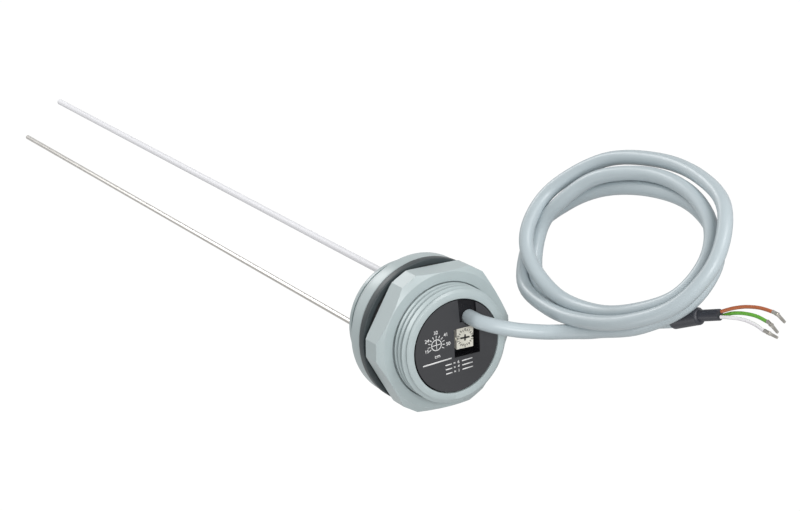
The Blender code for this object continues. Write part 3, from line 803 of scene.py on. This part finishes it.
dial = [hoop(*DIAL_RING, text_place(*DIAL))]
for number, (degrees, distance) in DIAL_NUMBERS.items():
    dial.append(words(number, DIAL_NUMBER_SIZE, text_place(*around(DIAL, distance, degrees))))
for degrees in DIAL_TICKS:
    where = around(DIAL, DIAL_TICK_DISTANCE, degrees)
    dial.append(bar(*DIAL_TICK, text_place(*where), degrees))
for degrees in (90, 0):
    dial.append(bar(*DIAL_CROSS, text_place(*DIAL), degrees))
dial.append(words("cm", UNIT_SIZE, text_place(*UNIT_AT)))
dial.append(bar(*LONG_RULE, text_place(*LONG_RULE_AT)))
for up, number in TABLE_ROWS:
    dial.append(bar(*TABLE_LEFT_RULE, text_place(TABLE_LEFT_AT, up)))
    dial.append(words("=", TABLE_SIZE, text_place(TABLE_EQUALS_AT, up)))
    dial.append(words(number, TABLE_SIZE, text_place(TABLE_NUMBER_AT, up)))
    dial.append(bar(*TABLE_RIGHT_RULE, text_place(TABLE_RIGHT_AT, up)))
printed("label_print", dial, label_ink, "head", "label_print")

SWITCH_AT = (3.8 * mm, -3.4 * mm)
SWITCH_FRONT = -2.0 * mm
SWITCH_TURN = math.radians(-60.5)
SWITCH_DIGITS = 10
SWITCH_DIGIT_SIZE = 1.3
SWITCH_DIGIT_DISTANCE = 2.9
SWITCH_TICK = (0.8, 0.28)
SWITCH_TICK_DISTANCE = 2.75
COLLAR = (2.45, 0.4)
SLOT_LONG_ARM = (3.8, 0.66)
SLOT_SHORT_ARM = (0.66, 2.24)
SLOT_DEPTH = 0.08 * mm


def switch_place(right, up, height=SWITCH_FRONT + INK):
    """A place on the switch, measured from the middle of its rotor."""
    return text_place(right, up, height, SWITCH_TURN, SWITCH_AT)


switch_marks = []
for k in range(SWITCH_DIGITS):
    degrees = -k * 360 / SWITCH_DIGITS
    outward = switch_place(*around((0, 0), SWITCH_DIGIT_DISTANCE, 90 + degrees))
    outward = outward @ Matrix.Rotation(math.radians(degrees), 4, "Z")
    switch_marks.append(words(str(k), SWITCH_DIGIT_SIZE, outward))
    between = 90 + degrees + 180 / SWITCH_DIGITS
    where = around((0, 0), SWITCH_TICK_DISTANCE, between)
    switch_marks.append(bar(*SWITCH_TICK, switch_place(*where), between))
printed("switch_numbers", switch_marks, switch_ink_and_painted_shade, "head", "switch_plastic")
collar = hoop(*COLLAR, switch_place(0, 0, SWITCH_FRONT - INK))
printed("switch_collar", [collar], switch_plastic, "head", "switch_plastic")
# Black bars fill the rotor's slots to just under its face. They are painted shade that stands in for
# the shadow inside the slots. The digits keep the same black as real print.
slot_floor = switch_place(0, 0, SWITCH_FRONT - SLOT_DEPTH)
slot_shade = [bar(*SLOT_LONG_ARM, slot_floor), bar(*SLOT_SHORT_ARM, slot_floor)]
printed("switch_slot_shade", slot_shade, switch_ink_and_painted_shade, "switch_rotor", "switch_plastic")


# Cable end: sleeve, cuff, wires and pins

SLEEVE_POINTS = [(65.6, 39.8, 3.1), (70.4, 42.2, 3.1), (75.4, 44.7, 3.1)]
CUFF_POINTS = [(75.2, 44.7, 3.1), (78.5, 46.1, 2.65), (82.2, 47.7, 2.1)]
WIRES = {
    "brown": [
        (82.5, 48.8, 2.5),
        (86.3, 51.3, 2.2),
        (90.6, 53.5, 1.5),
        (95.9, 55.0, 1.0),
        (101.4, 55.5, 0.8),
    ],
    "green": [
        (82.9, 48.0, 1.2),
        (86.4, 49.8, 1.5),
        (91.0, 51.3, 1.4),
        (96.0, 52.1, 1.0),
        (101.0, 51.9, 0.8),
    ],
    "white": [
        (83.3, 47.1, 2.5),
        (87.0, 48.3, 1.9),
        (91.2, 49.3, 1.2),
        (96.4, 49.5, 0.8),
        (101.6, 48.8, 0.8),
    ],
}
PINS = {
    "brown": [(102.0, 55.5, 0.8), (103.6, 55.4, 0.8), (108.0, 54.0, 0.8)],
    "green": [(101.6, 51.9, 0.8), (103.2, 51.5, 0.8), (107.1, 50.1, 0.8)],
    "white": [(102.2, 48.9, 0.8), (103.8, 48.8, 0.8), (107.9, 48.6, 0.8)],
}

# Sizes of the pins. The ferrule is longer than its grip on the wire, mostly at the back
FERRULE_BACK_RADIUS = 0.68 * mm
FERRULE_FRONT_RADIUS = 0.6 * mm
FERRULE_EXTRA = 0.8 * mm
FERRULE_SHIFT = 0.2 * mm
FERRULE_SIDES = 20
# The wings start before the ferrule's end, and the blade before the bend
WINGS = (0.8 * mm, 1.6 * mm, 0.3 * mm)
WING_TURNS = (40, -40)
WING_OVERLAP = 0.5 * mm
BLADE_OVERLAP = 0.3 * mm
BLADE_WIDTH = 1.15 * mm
BLADE_THICKNESS = 0.9 * mm
BLADE_NARROWED = 0.8


def along_line(start, end):
    """Turns work that lies along X from 0 into the line from start to end."""
    return Matrix.Translation(start) @ (end - start).to_track_quat("X", "Z").to_matrix().to_4x4()


def block(length, width, height, place, narrowed=1.0):
    """A bar along X from 0, with eased edges, that may narrow towards its far end."""
    bm = bmesh.new()
    bmesh.ops.create_cube(bm, size=1)
    for vert in bm.verts:
        share = narrowed if vert.co.x > 0 else 1
        vert.co = ((vert.co.x + 0.5) * length, vert.co.y * width * share, vert.co.z * height * share)
    bmesh.ops.bevel(
        bm,
        geom=bm.edges[:],
        offset=0.15 * min(width, height),
        segments=2,
        profile=0.5,
        affect="EDGES",
        material=-1,
    )
    return placed_mesh(bm, place)


def crimp_pin(name, start, bend, tip):
    """A ferrule on the wire, two wings folded over it, and a flat blade bent away from it."""
    grip = (bend - start).length
    bm = bmesh.new()
    bmesh.ops.create_cone(
        bm,
        cap_ends=True,
        segments=FERRULE_SIDES,
        radius1=FERRULE_BACK_RADIUS,
        radius2=FERRULE_FRONT_RADIUS,
        depth=grip + FERRULE_EXTRA,
    )
    on_wire = along_line(start, bend)
    lying = Matrix.Rotation(math.radians(90), 4, "Y")
    lying = Matrix.Translation((grip / 2 - FERRULE_SHIFT, 0, 0)) @ lying
    meshes = [placed_mesh(bm, on_wire @ lying)]
    for degrees in WING_TURNS:
        folded = on_wire @ Matrix.Translation((grip - WING_OVERLAP, 0, 0))
        folded = folded @ Matrix.Rotation(math.radians(degrees), 4, "X")
        meshes.append(block(*WINGS, folded))
    blade = along_line(bend, tip) @ Matrix.Translation((-BLADE_OVERLAP, 0, 0))
    length = (tip - bend).length + BLADE_OVERLAP
    meshes.append(block(length, BLADE_WIDTH, BLADE_THICKNESS, blade, BLADE_NARROWED))
    return make(f"{name}_crimp_pin", joined(meshes), tinned_metal, "head", Matrix(), f"pin_{name}")


def cord_piece(name, node, points, radius, look, end=1.0):
    """A round piece at the cable's end, that stands for a node."""
    piece = tube(name, smooth_path([on_floor(point) for point in points]), radius, look, end)
    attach(piece, "head")
    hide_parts(node)
    return piece


thick = (SLEEVE_POINTS, SLEEVE_RADIUS, sleeve_plastic, SLEEVE_SHRUNK)
sleeve = cord_piece("sleeve_thick", "sleeve", *thick)
thin = (CUFF_POINTS, CUFF_RADIUS, sleeve_plastic)
cuff = cord_piece("sleeve_thin", "sleeve_cuff", *thin)
on_cable = [sleeve, cuff]
for name, points in WIRES.items():
    insulated = (points, WIRE_RADIUS, wire_looks[name])
    wire = cord_piece(f"{name}_lead_wire", f"wire_{name}", *insulated)
    pin = crimp_pin(name, *[on_floor(point) for point in PINS[name]])
    on_cable += [wire, pin]

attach(cable, "head")
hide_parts("cable_lead", "cable_coil")


# Floor and light

FLOOR_REACH = 6
FLOOR_GREY = (0.42, 0.42, 0.42)
GLOW = 1.08
GLOW_SHARE = 0.93
# The part mirrors the glow at this share, so that bright metal stays apart from it
MIRRORED_SHARE = 0.5
WORLD_LIGHT = 0.52


def studio():
    """A grey floor that takes a faint shadow, and glows so that it looks white."""
    bm = bmesh.new()
    bmesh.ops.create_grid(bm, x_segments=1, y_segments=1, size=FLOOR_REACH)
    floor_mesh = bpy.data.meshes.new("floor")
    bm.to_mesh(floor_mesh)
    bm.free()
    look = Look("floor_white", FLOOR_GREY, 0.9)
    tree = look.tree
    rays = tree.nodes.new("ShaderNodeLightPath")
    mirrored = Value(look, rays.outputs["Is Glossy Ray"]) * MIRRORED_SHARE
    seen = Value(look, rays.outputs["Is Camera Ray"]) + mirrored
    seen = seen + Value(look, rays.outputs["Is Transmission Ray"])
    glow = tree.nodes.new("ShaderNodeEmission")
    glow.inputs["Strength"].default_value = GLOW
    blend = tree.nodes.new("ShaderNodeMixShader")
    look.feed(blend.inputs[0], seen * GLOW_SHARE)
    tree.links.new(look.shader.outputs[0], blend.inputs[1])
    tree.links.new(glow.outputs[0], blend.inputs[2])
    tree.links.new(blend.outputs[0], tree.nodes["Material Output"].inputs["Surface"])
    floor_mesh.materials.append(look.material)
    floor = bpy.data.objects.new("floor", floor_mesh)
    bpy.context.scene.collection.objects.link(floor)


def lamp(name, size, watts, place, target):
    """A round soft lamp that points at its target."""
    light = bpy.data.lights.new(name, "AREA")
    light.shape = "DISK"
    light.size = size
    light.energy = watts
    made = bpy.data.objects.new(name, light)
    made.location = place
    made.rotation_euler = (Vector(target) - Vector(place)).to_track_quat("-Z", "Y").to_euler()
    bpy.context.scene.collection.objects.link(made)


AT_HEAD = (0.17, 0, 0.03)
AT_RODS = (0.1, 0, 0.03)
AT_MIDDLE = (0, 0, 0.03)

studio()
lamp("front_light", 0.5, 6.2, (1.20, 0.15, 0.55), AT_HEAD)
lamp("side_light", 0.6, 5.2, (0.95, 0.95, 0.36), AT_HEAD)
lamp("back_light", 0.7, 1.3, (-0.85, 0.08, 0.55), AT_MIDDLE)
lamp("edge_light", 0.4, 3.0, (-0.80, 0.47, 0.48), AT_HEAD)
lamp("low_light", 0.5, 1.4, (0.10, -1.00, 0.45), AT_RODS)

world = bpy.data.worlds.new("studio")
world.use_nodes = True
sky = world.node_tree.nodes["Background"]
sky.inputs["Color"].default_value = (1, 1, 1, 1)
sky.inputs["Strength"].default_value = WORLD_LIGHT
bpy.context.scene.world = world
bpy.context.scene.view_settings.view_transform = "Standard"
